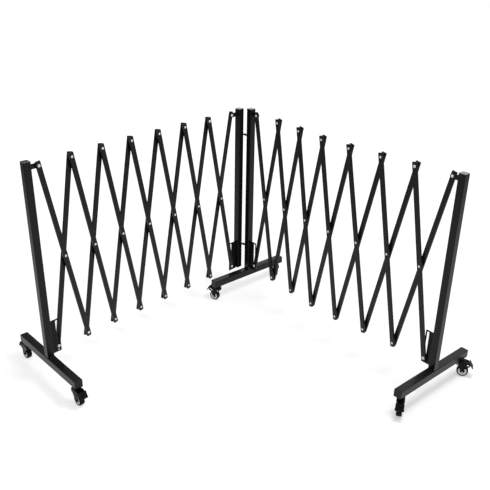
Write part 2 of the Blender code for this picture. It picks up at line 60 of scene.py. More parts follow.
# Sizes shared with the model, in metres
BAY_COUNT = 7
BAR_PIVOTS = 0.8345
BAR_THICKNESS = 0.008
LAYER_GAP = 0.0065
PLATE_THICKNESS = 0.003
PIN_RADIUS = 0.004
PIN_CLEARANCE = 0.0003
SLOT_PIN_RADIUS = 0.005
POST_SIZE = 0.031
POST_TOP = 1.0009
TOP_PIVOT_DROP = 0.0255
BEAM_WIDTH = 0.036
BEAM_LENGTH = 0.479
BEAM_BOTTOM = 0.0880
BEAM_TOP = 0.1240
END_REACH = 0.0477
HINGE_SIDE = 0.007
HINGE_FRONT = 0.003
HINGED_POST_LIFT = 0.010
LEFT_GUIDE_ROOT = 0.00052
CASTER_INSET = 0.031

# Swivel headings of the casters in degrees, from the stand's own X axis
HEADINGS = {"left_front": -88.0, "left_rear": 90.0, "centre_front": -160.0, "centre_rear": 150.0,
            "right_front": -57.0, "right_rear": 31.0}

# Small sizes shared by several pieces
SHEET_EDGE = 0.0004
CAP_EDGE = 0.0009
SEAM = 0.0003
SUNK = 0.002
TUBE_CORNER = 0.0030
TUBE_CORNER_STEPS = 6
MERGE_DISTANCE = 0.00001
MITRE_LIMIT = 0.5
SHARP_ANGLE = math.radians(50)

UPRIGHT = Matrix.Rotation(math.pi / 2, 4, "X")
THROUGH = Matrix.Rotation(-math.pi / 2, 4, "X")
SIDEWAYS = Matrix.Rotation(-math.pi / 2, 4, "Y")
ALONG_X = Matrix(((0, 0, 1, 0), (1, 0, 0, 0), (0, 1, 0, 0), (0, 0, 0, 1)))


class Side(Enum):
    """The two lattice panels."""

    LEFT = "left"
    RIGHT = "right"


class Level(Enum):
    """The three heights at which the bars of a panel are pinned."""

    TOP = "top"
    MIDDLE = "middle"
    FOOT = "foot"


class Slot(Enum):
    """The material slots of the record."""

    TUBE = "tube_paint"
    BAR = "bar_paint"
    PLATE = "plate_paint"
    PIN = "pin_metal"
    STEEL = "caster_steel"
    WHEEL = "caster_wheel"
    PEDAL = "brake_pedal"


class Tone(Enum):
    """Base colours of the finishes, in linear light."""

    TUBE = (0.0060, 0.0060, 0.0062)
    BAR = (0.0068, 0.0068, 0.0070)
    PLATE = (0.0040, 0.0040, 0.0042)
    CAP = (0.0160, 0.0160, 0.0165)
    STEEL = (0.0028, 0.0028, 0.0031)
    PEDAL = (0.0040, 0.0047, 0.0068)
    TYRE = (0.0032, 0.0032, 0.0034)
    HUB = (0.9300, 0.9300, 0.9200)
    WEB = (0.0120, 0.0120, 0.0125)
    ZINC = (0.9800, 0.9800, 0.9750)


# Values shared by the surface effects
NOISE_SPAN = (0.3, 0.7)
WHITE = (1.0, 1.0, 1.0, 1.0)
DUST_COLOUR = (0.30, 0.30, 0.29, 1.0)
GRAIN_DUST_COLOUR = (0.28, 0.27, 0.25, 1.0)
GRAIN_SCALE = 900.0
BUMP_DEPTH = 0.0004
SURFACE_INPUTS = ("Colour", "Roughness", "Dust")
SURFACE_OUTPUTS = ("Colour", "Roughness", "Height")
SOCKET_KINDS = ("NodeSocketColor", "NodeSocketFloat", "NodeSocketFloat")


def effect_group(name: str) -> tuple[Tree, Node, Node, Node]:
    """Start the shader node group of a surface effect.

    Args:
        name: name of the group.

    Returns:
        The group and its coordinate, input and output nodes.
    """
    group = bpy.data.node_groups.new(name, "ShaderNodeTree")
    for way, labels in (("INPUT", SURFACE_INPUTS), ("OUTPUT", SURFACE_OUTPUTS)):
        for label, kind in zip(labels, SOCKET_KINDS):
            group.interface.new_socket(label, in_out=way, socket_type=kind)
    kinds = ("ShaderNodeTexCoord", "NodeGroupInput", "NodeGroupOutput")
    return group, *(group.nodes.new(kind) for kind in kinds)


def wire(tree: Tree, node: Node, values: Values) -> None:
    """Link or set inputs of a node.

    Args:
        tree: tree of the node.
        node: node that has the inputs.
        values: a socket or plain value for each input, by label or number; None leaves it as it is.
    """
    for key, value in values.items():
        if isinstance(value, bpy.types.NodeSocket):
            tree.links.new(value, node.inputs[key])
        elif value is not None:
            node.inputs[key].default_value = value


def add_node(tree: Tree, kind: str, values: Values | None = None, **settings: object) -> Node:
    """Add a node, set its properties and wire its inputs.

    Args:
        tree: tree that gets the node.
        kind: type of the node.
        values: what its inputs get, by label or number.
        settings: properties of the node.

    Returns:
        The node.
    """
    node = tree.nodes.new(kind)
    for key, value in settings.items():
        setattr(node, key, value)
    wire(tree, node, values or {})
    return node


def maths(tree: Tree, operation: str, first: object, second: object = None) -> object:
    """Add a math node.

    Args:
        tree: tree that gets the node.
        operation: what the node does.
        first: socket or number for the first value.
        second: socket or number for the second value.

    Returns:
        The output socket.
    """
    return add_node(tree, "ShaderNodeMath", {0: first, 1: second}, operation=operation).outputs[0]


def scaled_colour(tree: Tree, colour: object, factor: object) -> object:
    """A colour made lighter or darker by a factor."""
    return add_node(tree, "ShaderNodeVectorMath", {0: colour, "Scale": factor}, operation="SCALE").outputs[0]


def blend_colour(tree: Tree, factor: object, low: object, high: object) -> object:
    """Mix two colours by a factor; each value is a socket or a plain colour."""
    return add_node(tree, "ShaderNodeMix", {0: factor, 6: low, 7: high}, data_type="RGBA").outputs[2]


def noise(tree: Tree, vector: object, scale: object, detail: float) -> object:
    """Add a noise texture and return its value socket."""
    values = {"Vector": vector, "Scale": scale, "Detail": detail}
    return add_node(tree, "ShaderNodeTexNoise", values).outputs["Fac"]


def map_range(tree: Tree, value: object, span: Pair, levels: Pair) -> object:
    """Map a value from a span to two levels, clamped."""
    labels = ("Value", "From Min", "From Max", "To Min", "To Max")
    return add_node(tree, "ShaderNodeMapRange", dict(zip(labels, (value, *span, *levels)))).outputs["Result"]


def varied(group: Tree, given: Node, mask: object, tones: Pair, shifts: Pair) -> tuple[object, object]:
    """Vary the given colour and roughness by a mask.

    Args:
        group: group of the effect.
        given: its input node.
        mask: noise that says where.
        tones: factors of the colour at the two ends of the noise.
        shifts: what is added to the roughness there.

    Returns:
        The sockets with the colour and the roughness.
    """
    tone = scaled_colour(group, given.outputs["Colour"], map_range(group, mask, NOISE_SPAN, tones))
    return tone, maths(group, "ADD", given.outputs["Roughness"], map_range(group, mask, NOISE_SPAN, shifts))


def build_powder_coat() -> None:
    """Sprayed paint: a faintly cloudy tone, orange peel, pale specks, and dust on what faces up."""
    cloud_scale, speck_scale, speck_level, dust_roughness = 9.0, 420.0, 0.03, 0.5
    group, here, given, result = effect_group("powder_coat")
    point = here.outputs["Object"]
    cloud = noise(group, point, cloud_scale, 3.0)
    speck = map_range(group, noise(group, point, speck_scale, 1.0), (0.66, 0.80), (0.0, speck_level))
    split = add_node(group, "ShaderNodeSeparateXYZ", {0: here.outputs["Normal"]})
    upward = map_range(group, split.outputs["Z"], (0.6, 1.0), (0.0, 1.0))
    settled = maths(group, "MULTIPLY", upward, given.outputs["Dust"])
    settled = maths(group, "MULTIPLY", settled, map_range(group, cloud, (0.35, 0.65), (0.5, 1.2)))
    tone, rough = varied(group, given, cloud, (0.85, 1.15), (-0.03, 0.04))
    dusty = blend_colour(group, maths(group, "ADD", settled, speck), tone, DUST_COLOUR)
    rough = maths(group, "ADD", rough, maths(group, "MULTIPLY", settled, dust_roughness))
    height = noise(group, point, GRAIN_SCALE, 2.0)
    wire(group, result, {"Colour": dusty, "Roughness": rough, "Height": height})


def build_worn_metal() -> None:
    """Plated metal: fine grain, stains and a varying polish."""
    stain_scale = 160.0
    group, here, given, result = effect_group("worn_metal")
    point = here.outputs["Object"]
    stain = noise(group, point, stain_scale, 4.0)
    tone, rough = varied(group, given, stain, (0.88, 1.05), (-0.06, 0.10))
    height = noise(group, point, GRAIN_SCALE, 2.0)
    wire(group, result, {"Colour": tone, "Roughness": rough, "Height": height})


def build_moulded() -> None:
    """Moulded plastic and rubber: spark-eroded grain, flow marks, and dust caught in the grain."""
    flow_scale = 60.0
    group, here, given, result = effect_group("moulded")
    point = here.outputs["Object"]
    flow = noise(group, point, flow_scale, 2.0)
    grain = noise(group, point, GRAIN_SCALE, 3.0)
    tone, rough = varied(group, given, flow, (0.90, 1.10), (-0.05, 0.06))
    pits = map_range(group, grain, (0.55, 0.75), (0.0, 1.0))
    caught = maths(group, "MULTIPLY", pits, given.outputs["Dust"])
    dusty = blend_colour(group, caught, tone, GRAIN_DUST_COLOUR)
    wire(group, result, {"Colour": dusty, "Roughness": rough, "Height": grain})


@dataclass(frozen=True)
class Finish:
    """A finish made of one shared effect and the numbers of its own surface."""

    name: str
    slot: Slot
    tone: Tone
    effect: str
    roughness: float
    metallic: float = 0.0
    specular: float = 0.5
    coat: float = 0.0
    bump: float = 0.1
    dust: float = 0.0

    def material(self) -> bpy.types.Material:
        """Build the material, or find it when it exists.

        Returns:
            The material.
        """
        found = bpy.data.materials.get(self.name)
        if found:
            return found
        material = bpy.data.materials.new(self.name)
        material.use_nodes = True
        tree = material.node_tree
        colour = (*self.tone.value, 1.0)
        group = add_node(tree, "ShaderNodeGroup", node_tree=bpy.data.node_groups[self.effect])
        wire(tree, group, {"Colour": colour, "Roughness": self.roughness, "Dust": self.dust})
        made = group.outputs
        relief = {"Strength": self.bump, "Distance": BUMP_DEPTH, "Height": made["Height"]}
        wire(tree, tree.nodes["Principled BSDF"], {
            "Base Color": made["Colour"], "Roughness": made["Roughness"], "Metallic": self.metallic,
            "Specular IOR Level": self.specular, "Coat Weight": self.coat,
            "Normal": add_node(tree, "ShaderNodeBump", relief).outputs["Normal"]})
        material.diffuse_color = colour
        return material


TUBE_PAINT = Finish("tube_powder_coat", Slot.TUBE, Tone.TUBE, "powder_coat", 0.25, specular=0.19, dust=0.03)
BAR_PAINT = Finish("bar_powder_coat", Slot.BAR, Tone.BAR, "powder_coat", 0.30, specular=0.23, dust=0.02)
PLATE_PAINT = Finish("guide_powder_coat", Slot.PLATE, Tone.PLATE, "powder_coat", 0.42, specular=0.14)
CAP_PLASTIC = Finish("cap_plastic", Slot.TUBE, Tone.CAP, "moulded", 0.22, specular=0.55, coat=1.0, bump=0.04)
PLUG_PLASTIC = Finish("plug_plastic", Slot.TUBE, Tone.PLATE, "moulded", 0.34, specular=0.22, bump=0.04)
PIN_BLACK = Finish("pin_black_oxide", Slot.PIN, Tone.STEEL, "worn_metal", 0.36, specular=0.22, bump=0.05)
FORK_STEEL = Finish("fork_black_plating", Slot.STEEL, Tone.STEEL, "powder_coat", 0.34, specular=0.12,
                    bump=0.05)
PEDAL_COAT = Finish("pedal_blue_black", Slot.PEDAL, Tone.PEDAL, "moulded", 0.36, specular=0.12, bump=0.08)
TYRE_RUBBER = Finish("tyre_rubber", Slot.WHEEL, Tone.TYRE, "moulded", 0.55, specular=0.12, bump=0.2,
                     dust=0.01)
HUB_NYLON = Finish("hub_pale_nylon", Slot.WHEEL, Tone.HUB, "moulded", 0.42, bump=0.03, dust=0.02)
WEB_NYLON = Finish("hub_dark_web", Slot.WHEEL, Tone.WEB, "moulded", 0.50, specular=0.3, bump=0.05)
ZINC = Finish("zinc_plate", Slot.PIN, Tone.ZINC, "worn_metal", 0.30, metallic=0.12, bump=0.05)

NODE_FINISHES = {"post": TUBE_PAINT, "beam": TUBE_PAINT, "front": BAR_PAINT, "rear": BAR_PAINT,
                 "guide": PLATE_PAINT, "lower": PIN_BLACK, "upper": PIN_BLACK, "fork": FORK_STEEL,
                 "wheel": TYRE_RUBBER, "brake": PEDAL_COAT}


def dress_nodes() -> None:
    """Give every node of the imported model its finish."""
    for name, node in frame["nodes"].items():
        finish = NODE_FINISHES[name.rsplit("_", 1)[1]]
        if not node.data.materials:
            node.data.materials.append(None)
        for slot in node.material_slots:
            slot.material = finish.material()
        LOG.info("dressed %s with %s", name, finish.name)


def arc(x: float, y: float, radius: float, start: float, end: float, steps: int) -> Loop:
    """Points on an arc about a centre, from one angle to another in degrees."""
    angles = [math.radians(start + (end - start) * step / steps) for step in range(steps + 1)]
    return [(x + radius * math.cos(a), y + radius * math.sin(a)) for a in angles]


def ring(x: float, y: float, radius: float, steps: int = 20) -> Loop:
    """A full circle as a loop."""
    return arc(x, y, radius, 0.0, 360.0, steps)[:-1]


def eased(corners: Loop, cuts: float | list[float], steps: int = 4) -> Loop:
    """An outline with its corners drawn as small curves.

    Args:
        corners: corner points in order.
        cuts: how much of each side a corner takes, one number or one for each corner; zero keeps it sharp.
        steps: number of chords in each corner.

    Returns:
        The loop.
    """
    loop = []
    for index, corner in enumerate(corners):
        cut = cuts if isinstance(cuts, float) else cuts[index]
        if not cut:
            loop.append(corner)
            continue
        point = Vector(corner)
        start = point + (Vector(corners[index - 1]) - point).normalized() * cut
        end = point + (Vector(corners[(index + 1) % len(corners)]) - point).normalized() * cut
        for step in range(steps + 1):
            t = step / steps
            loop.append(tuple((1 - t) ** 2 * start + 2 * t * (1 - t) * point + t ** 2 * end))
    return loop


def box_loop(low_x: float, low_y: float, high_x: float, high_y: float, cut: float, steps: int = 4) -> Loop:
    """A rectangle with eased corners."""
    return eased([(low_x, low_y), (high_x, low_y), (high_x, high_y), (low_x, high_y)], cut, steps)


def tube_outline(size: float, middle: float = 0.0) -> Loop:
    """The square section of a post or beam, with eased corners, centred at a height."""
    half = size / 2
    return box_loop(-half, middle - half, half, middle + half, TUBE_CORNER, TUBE_CORNER_STEPS)


def turned_area(loop: Loop) -> float:
    """The signed area of a loop: positive when it runs anticlockwise."""
    return sum(a[0] * b[1] - b[0] * a[1] for a, b in zip(loop, loop[1:] + loop[:1])) / 2


def inset(loop: Loop, distance: float) -> Loop:
    """Move a loop to the left of its own direction.

    Args:
        loop: points in order.
        distance: how far each side moves.

    Returns:
        The moved loop.
    """
    moved = []
    for index, corner in enumerate(loop):
        point = Vector(corner)
        before = (point - Vector(loop[index - 1])).normalized()
        after = (Vector(loop[(index + 1) % len(loop)]) - point).normalized()
        side = Vector((-before.y, before.x))
        middle = (side + Vector((-after.y, after.x))).normalized()
        moved.append(tuple(point + middle * distance / max(middle.dot(side), MITRE_LIMIT)))
    return moved


def plate(loops: list[Loop], low: float, high: float, edge: float, steps: int = 2) -> Mesh:
    """A flat plate in the XY plane with rounded edges, also round its holes.

    Args:
        loops: the outline, then the holes.
        low: height of the lower face.
        high: height of the upper face.
        edge: radius of every edge between a face and a side.
        steps: number of facets in each rounded edge.

    Returns:
        The mesh.
    """
    quarter = [math.radians(90.0 * step / steps) for step in range(steps + 1)]
    levels = [(edge * (1 - math.sin(a)), low + edge * (1 - math.cos(a))) for a in quarter]
    levels += [(back, low + high - height) for back, height in reversed(levels)]
    bm = bmesh.new()
    rims = ([], [])
    for number, loop in enumerate(loops):
        if (turned_area(loop) > 0) != (number == 0):
            loop = loop[::-1]
        rings = [[bm.verts.new((x, y, height)) for x, y in inset(loop, back)] for back, height in levels]
        for lower, upper in zip(rings, rings[1:]):
            for corners in zip(lower, lower[1:] + lower[:1], upper[1:] + upper[:1], upper):
                bm.faces.new(corners)
        for rim, verts in zip(rims, (rings[0], rings[-1])):
            rim += [bm.edges.get(pair) for pair in zip(verts, verts[1:] + verts[:1])]
    for rim, toward in zip(rims, (-1.0, 1.0)):
        bmesh.ops.triangle_fill(bm, use_beauty=True, edges=rim, normal=(0.0, 0.0, toward))
    bmesh.ops.recalc_face_normals(bm, faces=bm.faces)
    return to_mesh(bm, "plate")


def turned(profile: Loop, sides: int) -> Mesh:
    """Turn a profile about the Z axis.

    Args:
        profile: pairs of radius and height; its ends lie on the axis or make a closed ring.
        sides: number of steps round the axis.

    Returns:
        The mesh.
    """
    bm = bmesh.new()
    verts = [bm.verts.new((radius, 0.0, height)) for radius, height in profile]
    edges = [bm.edges.new(pair) for pair in zip(verts, verts[1:])]
    bmesh.ops.spin(bm, geom=verts + edges, cent=(0, 0, 0), axis=(0, 0, 1), angle=math.tau, steps=sides,
                   use_merge=True)
    bmesh.ops.remove_doubles(bm, verts=bm.verts, dist=MERGE_DISTANCE)
    bmesh.ops.recalc_face_normals(bm, faces=bm.faces)
    return to_mesh(bm, "turned")


def to_mesh(bm: bmesh.types.BMesh, name: str) -> Mesh:
    """Turn a working mesh into a mesh block and free it.

    Args:
        bm: the working mesh.
        name: name of the mesh block.

    Returns:
        The mesh block.
    """
    mesh = bpy.data.meshes.new(name)
    bm.to_mesh(mesh)
    bm.free()
    return mesh


def add_object(name: str, data: bpy.types.ID, spot: Matrix | None = None) -> bpy.types.Object:
    """Add an object to the scene.

    Args:
        name: name of the object.
        data: its mesh, lamp or camera.
        spot: its place, or none to leave it at the origin.

    Returns:
        The object.
    """
    added = bpy.data.objects.new(name, data)
    if spot:
        added.matrix_world = spot
    bpy.context.scene.collection.objects.link(added)
    return added


def mirrored(profile: Loop) -> Loop:
    """A profile followed by its mirror image across height zero."""
    return profile + [(radius, -height) for radius, height in reversed(profile)]


def bead(length: float, radius: float, ripple: float = 0.0024) -> Mesh:
    """Make a weld bead along Z from zero, with the ripples of its runs and thinner ends.

    Args:
        length: length of the bead.
        radius: radius of its thick middle.
        ripple: pitch of the ripples.

    Returns:
        The mesh.
    """
    valley_share, end_share, taper_share, sides = 0.82, 0.55, 1 / 6, 8
    count = max(2, round(length / ripple)) * 2
    profile = [(0.0, 0.0)]
    for step in range(1, count):
        swell = 1.0 if step % 2 else valley_share
        taper = min(1.0, min(step, count - step) / count / taper_share)
        profile.append((radius * swell * (end_share + (1.0 - end_share) * taper), length * step / count))
    return turned(profile + [(0.0, length)], sides)


def place(x: float = 0.0, y: float = 0.0, z: float = 0.0, turn: float = 0.0) -> Matrix:
    """A frame at a point, turned about the vertical by an angle in degrees."""
    return Matrix.Translation((x, y, z)) @ Matrix.Rotation(math.radians(turn), 4, "Z")


def build_piece(name: str, parts: Parts, finish: Finish, body: str, node: str = "") -> None:
    """Join meshes into one named piece, dress it and put it on its body.

    Args:
        name: name of the piece.
        parts: meshes, each with its own place.
        finish: finish of the piece.
        body: body that carries it.
        node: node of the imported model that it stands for, if any.
    """
    bm = bmesh.new()
    for mesh, spot in parts:
        copy = mesh.copy()
        copy.transform(spot)
        bm.from_mesh(copy)
        bpy.data.meshes.remove(copy)
    for face in bm.faces:
        face.smooth = True
    mesh = to_mesh(bm, name)
    mesh.set_sharp_from_angle(angle=SHARP_ANGLE)
    mesh.materials.append(finish.material())
    piece = add_object(name, mesh)
    weighted = piece.modifiers.new("even_shading", "WEIGHTED_NORMAL")
    weighted.keep_sharp = True
    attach(piece, body)
    if node:
        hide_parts(node)
    LOG.info("built %s on %s", name, body)


@dataclass
class Layout:
    """Where the stands and panels of the barrier stand on the floor."""

    right_turn: float = -48.86
    left_turn: float = 47.48
    left_stand_turn: float = -4.23
    right_reach: float = 0.0487
    left_reach: float = 0.0548
    right_pitch: float = 0.1577
    left_pitch: float = 0.1528
    right_bow: float = 0.0416
    left_bow: float = -0.0136
    right_bow_shares: tuple[float, ...] = (0.0, 0.21, 0.60, 0.985, 1.0, 0.62, 0.28, 0.0)
    left_bow_shares: tuple[float, ...] = (0.0, 0.48, 0.89, 1.0, 0.86, 0.76, 0.54, 0.0)

    def fixed(self) -> Matrix:
        """Frame of the fixed middle post."""
        top = next(mount for mount in frame["record"]["mounts"] if mount["name"] == "centre_post_top")
        return place(*top["pos_m"][:2], turn=self.right_turn)

    def axis(self) -> Matrix:
        """Frame of the middle hinge's axis."""
        half = POST_SIZE / 2
        return place(*(self.fixed() @ Vector((-half - HINGE_SIDE, -half - HINGE_FRONT, 0.0))))

    def hinged(self) -> Matrix:
        """Frame of the hinged middle post."""
        half = POST_SIZE / 2
        return self.axis() @ place(turn=self.left_turn) @ place(-half - HINGE_SIDE, half + HINGE_FRONT)

    def right_end(self) -> Matrix:
        """Frame of the right stand."""
        return self.fixed() @ place(self.right_reach + BAY_COUNT * self.right_pitch + END_REACH)

    def left_plate(self) -> Matrix:
        """Frame of the bracket and guide of the left stand."""
        return self.hinged() @ place(-self.left_reach - BAY_COUNT * self.left_pitch - END_REACH)

    def left_end(self) -> Matrix:
        """Frame of the left stand."""
        return self.left_plate() @ place(END_REACH, turn=self.left_stand_turn) @ place(-END_REACH)


@dataclass
class Panel:
    """One lattice panel: its bars and the rivets that pin them together."""

    side: Side
    base: Matrix
    first_x: float
    pitch: float
    bow: float
    bow_shares: tuple[float, ...]
    bar_width: float = 0.0225
    bar_end: float = 0.018
    top_corner: float = 0.0020
    foot_corner: float = 0.0062
    bar_edge: float = 0.0012
    head_radius: float = 0.0054
    end_head_radius: float = 0.0064
    slot_head_radius: float = 0.0072
    head_rise: float = 0.0020
    head_sides: int = 24

    def bow_at(self, index: int) -> float:
        """How far a column of pivots is bowed toward the viewer."""
        return self.bow * self.bow_shares[index]

    def pivot(self, level: Level, index: int) -> Vector:
        """Work out the place of a pivot in the panel's own frame.

        Args:
            level: height at which the bars are pinned.
            index: column from 0 at the left, or at the middle level the bay from 1.

        Returns:
            The point.
        """
        rise = math.sqrt(BAR_PIVOTS ** 2 - self.pitch ** 2)
        top = POST_TOP - TOP_PIVOT_DROP
        if level is Level.MIDDLE:
            x = self.first_x + (index - 0.5) * self.pitch
            return Vector((x, -(self.bow_at(index - 1) + self.bow_at(index)) / 2, top - rise / 2))
        height = top if level is Level.TOP else top - rise
        return Vector((self.first_x + index * self.pitch, -self.bow_at(index), height))

    def name_of(self, index: int, front: bool) -> str:
        """Name of a bar, which is also its node and its body."""
        return f"{self.side.value}_bar_{index}_{'front' if front else 'rear'}"

    def bar(self, index: int, front: bool) -> None:
        """Build one flat bar with softened edges, and round holes where its neighbour's rivets pass.

        Args:
            index: bay of the bar, from 1 at the left.
            front: whether it lies in the front layer.
        """
        half = BAR_PIVOTS / 2
        x, z = self.bar_width / 2, half + self.bar_end
        cuts = [self.foot_corner, self.foot_corner, self.top_corner, self.top_corner]
        loops = [eased([(-x, -z), (x, -z), (x, z), (-x, z)], cuts, 5)]
        if not front:
            held = {(1, -1), (BAY_COUNT, 1)}
            loops += [ring(0.0, height * half, PIN_RADIUS + PIN_CLEARANCE) for height in (-1, 0, 1)
                      if (index, height) not in held]
        thick = BAR_THICKNESS / 2
        mesh = plate(loops, -thick, thick, self.bar_edge, 3)
        top, foot = (index - 1, index) if front else (index, index - 1)
        lean = Matrix.Identity(4)
        lean[1][2] = (self.bow_at(foot) - self.bow_at(top)) / BAR_PIVOTS
        tilt = math.asin(self.pitch / BAR_PIVOTS) * (-1 if front else 1)
        layer = (LAYER_GAP + BAR_THICKNESS) / 2 * (-1 if front else 1)
        spot = self.base @ place(*self.pivot(Level.MIDDLE, index)) @ Matrix.Rotation(tilt, 4, "Y") \
            @ lean @ place(y=layer) @ UPRIGHT
        name = self.name_of(index, front)
        build_piece(f"{name}_flat", [(mesh, spot)], BAR_PAINT, name, name)

    def rivet(self, head: float, shaft: float, near: float, far: float) -> Mesh:
        """Make a rivet along Z with two domed heads, each on its own face.

        Args:
            head: radius of the heads.
            shaft: radius of the shaft.
            near: distance of the front face from the panel's middle plane.
            far: distance of the rear face from that plane.

        Returns:
            The mesh.
        """
        dome_shares = ((0.0, 1.0), (0.42, 0.96), (0.72, 0.82), (0.92, 0.55), (1.0, 0.22), (1.0, 0.0))
        front = [(share * head, -near - rise * self.head_rise) for share, rise in dome_shares]
        rear = [(share * head, far + rise * self.head_rise) for share, rise in reversed(dome_shares)]
        return turned(front + [(shaft, -near), (shaft, far)] + rear, self.head_sides)

    def rivets(self, index: int, front: bool) -> None:
        """Build the rivets that one bar carries.

        Args:
            index: bay of the bar, from 1 at the left.
            front: whether it lies in the front layer.
        """
        face = LAYER_GAP / 2 + BAR_THICKNESS
        strap = PLATE_THICKNESS / 2 + PIN_CLEARANCE
        far = face + PIN_CLEARANCE
        if front:
            spots = ((Level.TOP, index - 1), (Level.MIDDLE, index), (Level.FOOT, index))
        else:
            spots = ((Level.FOOT, 0),) if index == 1 else ((Level.TOP, BAY_COUNT),)
        parts = []
        for level, number in spots:
            at_end = number in (0, BAY_COUNT) and level is not Level.MIDDLE
            outer = index in (1, BAY_COUNT) and level is not Level.MIDDLE
            head = self.end_head_radius if outer else self.head_radius
            shaft = PIN_RADIUS
            if at_end and level is Level.FOOT:
                head, shaft = self.slot_head_radius, SLOT_PIN_RADIUS
            near, behind = (face, strap if at_end else far) if front else (strap, face)
            spot = self.base @ place(*self.pivot(level, number)) @ THROUGH
            parts.append((self.rivet(head, shaft, near, behind), spot))
        name = self.name_of(index, front)
        build_piece(f"{name}_rivets", parts, ZINC, name)

    def build(self) -> None:
        """Build the bars and the rivets."""
        for index in range(1, BAY_COUNT + 1):
            self.bar(index, True)
            self.bar(index, False)
            self.rivets(index, True)
        self.rivets(1, False)
        self.rivets(BAY_COUNT, False)


@dataclass
class Post:
    """A square post with its cap, its top bracket, its slide guide and their welds."""

    name: str
    body: str
    base: Matrix
    plate_base: Matrix
    pivot_x: float
    foot_pivot: float
    low: float
    hinge_side: int = 0
    guide_root: float = 0.0003
    cap_height: float = 0.0028
    cap_margin: float = 0.0004
    stem_margin: float = 0.0040
    stem_half: float = 0.001
    stem_edge: float = 0.0003
    strap_half: float = 0.0105
    slot_half: float = 0.0054
    slot_wall: float = 0.0060
    slot_above: float = 0.1235
    slot_below: float = 0.0140
    guide_corner: float = 0.003
    lug_radius: float = 0.0065
    lug_height: float = 0.0036
    lug_edge: float = 0.0005
    lug_gap: float = 0.0003
    lug_hole: float = 0.0033
    weld: float = 0.0013
    foot_weld: float = 0.0017
    weld_off: float = 0.0002
    weld_length: float = 0.024
    weld_run: float = 0.16
    weld_shares: tuple[float, ...] = (0.06, 0.42, 0.78)
    hinge_heights: Pair = (0.2670, 0.8689)

    def side(self) -> int:
        """The side of the post on which its panel lies: 1 or -1 along X."""
        return 1 if self.pivot_x > 0 else -1

    def strap(self) -> tuple[Mesh, Matrix]:
        """Make the bracket between the two layers, with the hole for the end rivet.

        Returns:
            The mesh and its place.
        """
        half, root = self.strap_half, POST_SIZE / 2 - SUNK
        height = POST_TOP - TOP_PIVOT_DROP
        nose = arc(abs(self.pivot_x), height, half, -90.0, 90.0, 14)
        outline = [(self.side() * x, z) for x, z in nose + [(root, height + half), (root, height - half)]]
        hole = ring(self.pivot_x, height, PIN_RADIUS + PIN_CLEARANCE)
        thick = PLATE_THICKNESS / 2
        return plate([outline, hole], -thick, thick, SHEET_EDGE), self.plate_base @ UPRIGHT

    def lugs(self) -> Parts:
        """Make the hinge knuckles on a middle post.

        Returns:
            The meshes and their places.
        """
        half, radius = POST_SIZE / 2, self.lug_radius
        centre = place(self.hinge_side * (half + HINGE_SIDE), -half - HINGE_FRONT)
        root = -HINGE_SIDE - radius - SUNK
        corners = arc(0.0, 0.0, radius, -90.0, 90.0, 12) + [(root, radius + SUNK), (root, -radius)]
        loops = [[(self.hinge_side * x, y) for x, y in corners], ring(0.0, 0.0, self.lug_hole)]
        parts = []
        for height in self.hinge_heights:
            low = height + (self.lug_gap / 2 if self.hinge_side > 0 else -self.lug_gap / 2 - self.lug_height)
            parts.append((plate(loops, low, low + self.lug_height, self.lug_edge), self.base @ centre))
        return parts

    def welds(self) -> Parts:
        """Make the weld beads of the bracket, the guide and the foot.

        Returns:
            The meshes and their places.
        """
        half = POST_SIZE / 2
        out = PLATE_THICKNESS / 2 + 2 * self.weld_off
        foot = self.foot_pivot - self.slot_below - self.slot_half - self.slot_wall
        spans = [(POST_TOP - TOP_PIVOT_DROP - self.strap_half, 2 * self.strap_half)]
        spans += [(foot + share * self.weld_run, self.weld_length) for share in self.weld_shares]
        parts = []
        for low, length in spans:
            for front in (-out, out):
                spot = place(self.side() * (half + self.weld_off), front, low)
                parts.append((bead(length, self.weld), self.plate_base @ spot))
        if self.hinge_side <= 0:
            corner = place(half - SUNK, half + self.weld_off, BEAM_TOP + self.weld_off)
            for turn in (0.0, 180.0):
                spot = self.base @ place(turn=turn) @ corner @ SIDEWAYS
                parts.append((bead(POST_SIZE - 2 * SUNK, self.foot_weld), spot))
        return parts

    def build_tube(self) -> None:
        """The tube with its bracket and knuckles, the seams that hold them, and the cap."""
        shoulder = POST_TOP - self.cap_height
        tube = plate([tube_outline(POST_SIZE)], self.low, shoulder, SHEET_EDGE)
        parts = [(tube, self.base), self.strap()]
        if self.hinge_side:
            parts += self.lugs()
        build_piece(f"{self.name}_tube", parts, TUBE_PAINT, self.body, self.name)
        build_piece(f"{self.name}_welds", self.welds(), TUBE_PAINT, self.body)
        cap = plate([tube_outline(POST_SIZE - self.cap_margin)], shoulder + SEAM, POST_TOP, CAP_EDGE, 3)
        stem = plate([tube_outline(POST_SIZE - self.stem_margin)], shoulder - self.stem_half,
                     shoulder + self.stem_half, self.stem_edge)
        build_piece(f"{self.name}_cap", [(cap, self.base), (stem, self.base)], CAP_PLASTIC, self.body)

    def build_guide(self) -> None:
        """The flat plate with the upright slot."""
        rim = self.slot_half + self.slot_wall
        root = self.side() * (POST_SIZE / 2 + self.guide_root)
        outer = self.pivot_x + self.side() * rim
        low, high = self.foot_pivot - self.slot_below, self.foot_pivot + self.slot_above
        corners = [(root, low - rim), (outer, low - rim), (outer, high + rim), (root, high + rim)]
        outline = eased(corners, [0.0, self.guide_corner, self.guide_corner, 0.0])
        slot = arc(self.pivot_x, low, self.slot_half, 180.0, 360.0, 10) \
            + arc(self.pivot_x, high, self.slot_half, 0.0, 180.0, 10)
        thick = PLATE_THICKNESS / 2
        parts = [(plate([outline, slot], -thick, thick, SHEET_EDGE), self.plate_base @ UPRIGHT)]
        guide = self.name.replace("_post", "_guide")
        build_piece(f"{guide}_plate", parts, PLATE_PAINT, self.body, guide)

    def build(self) -> None:
        """Build the post and its guide."""
        self.build_tube()
        self.build_guide()


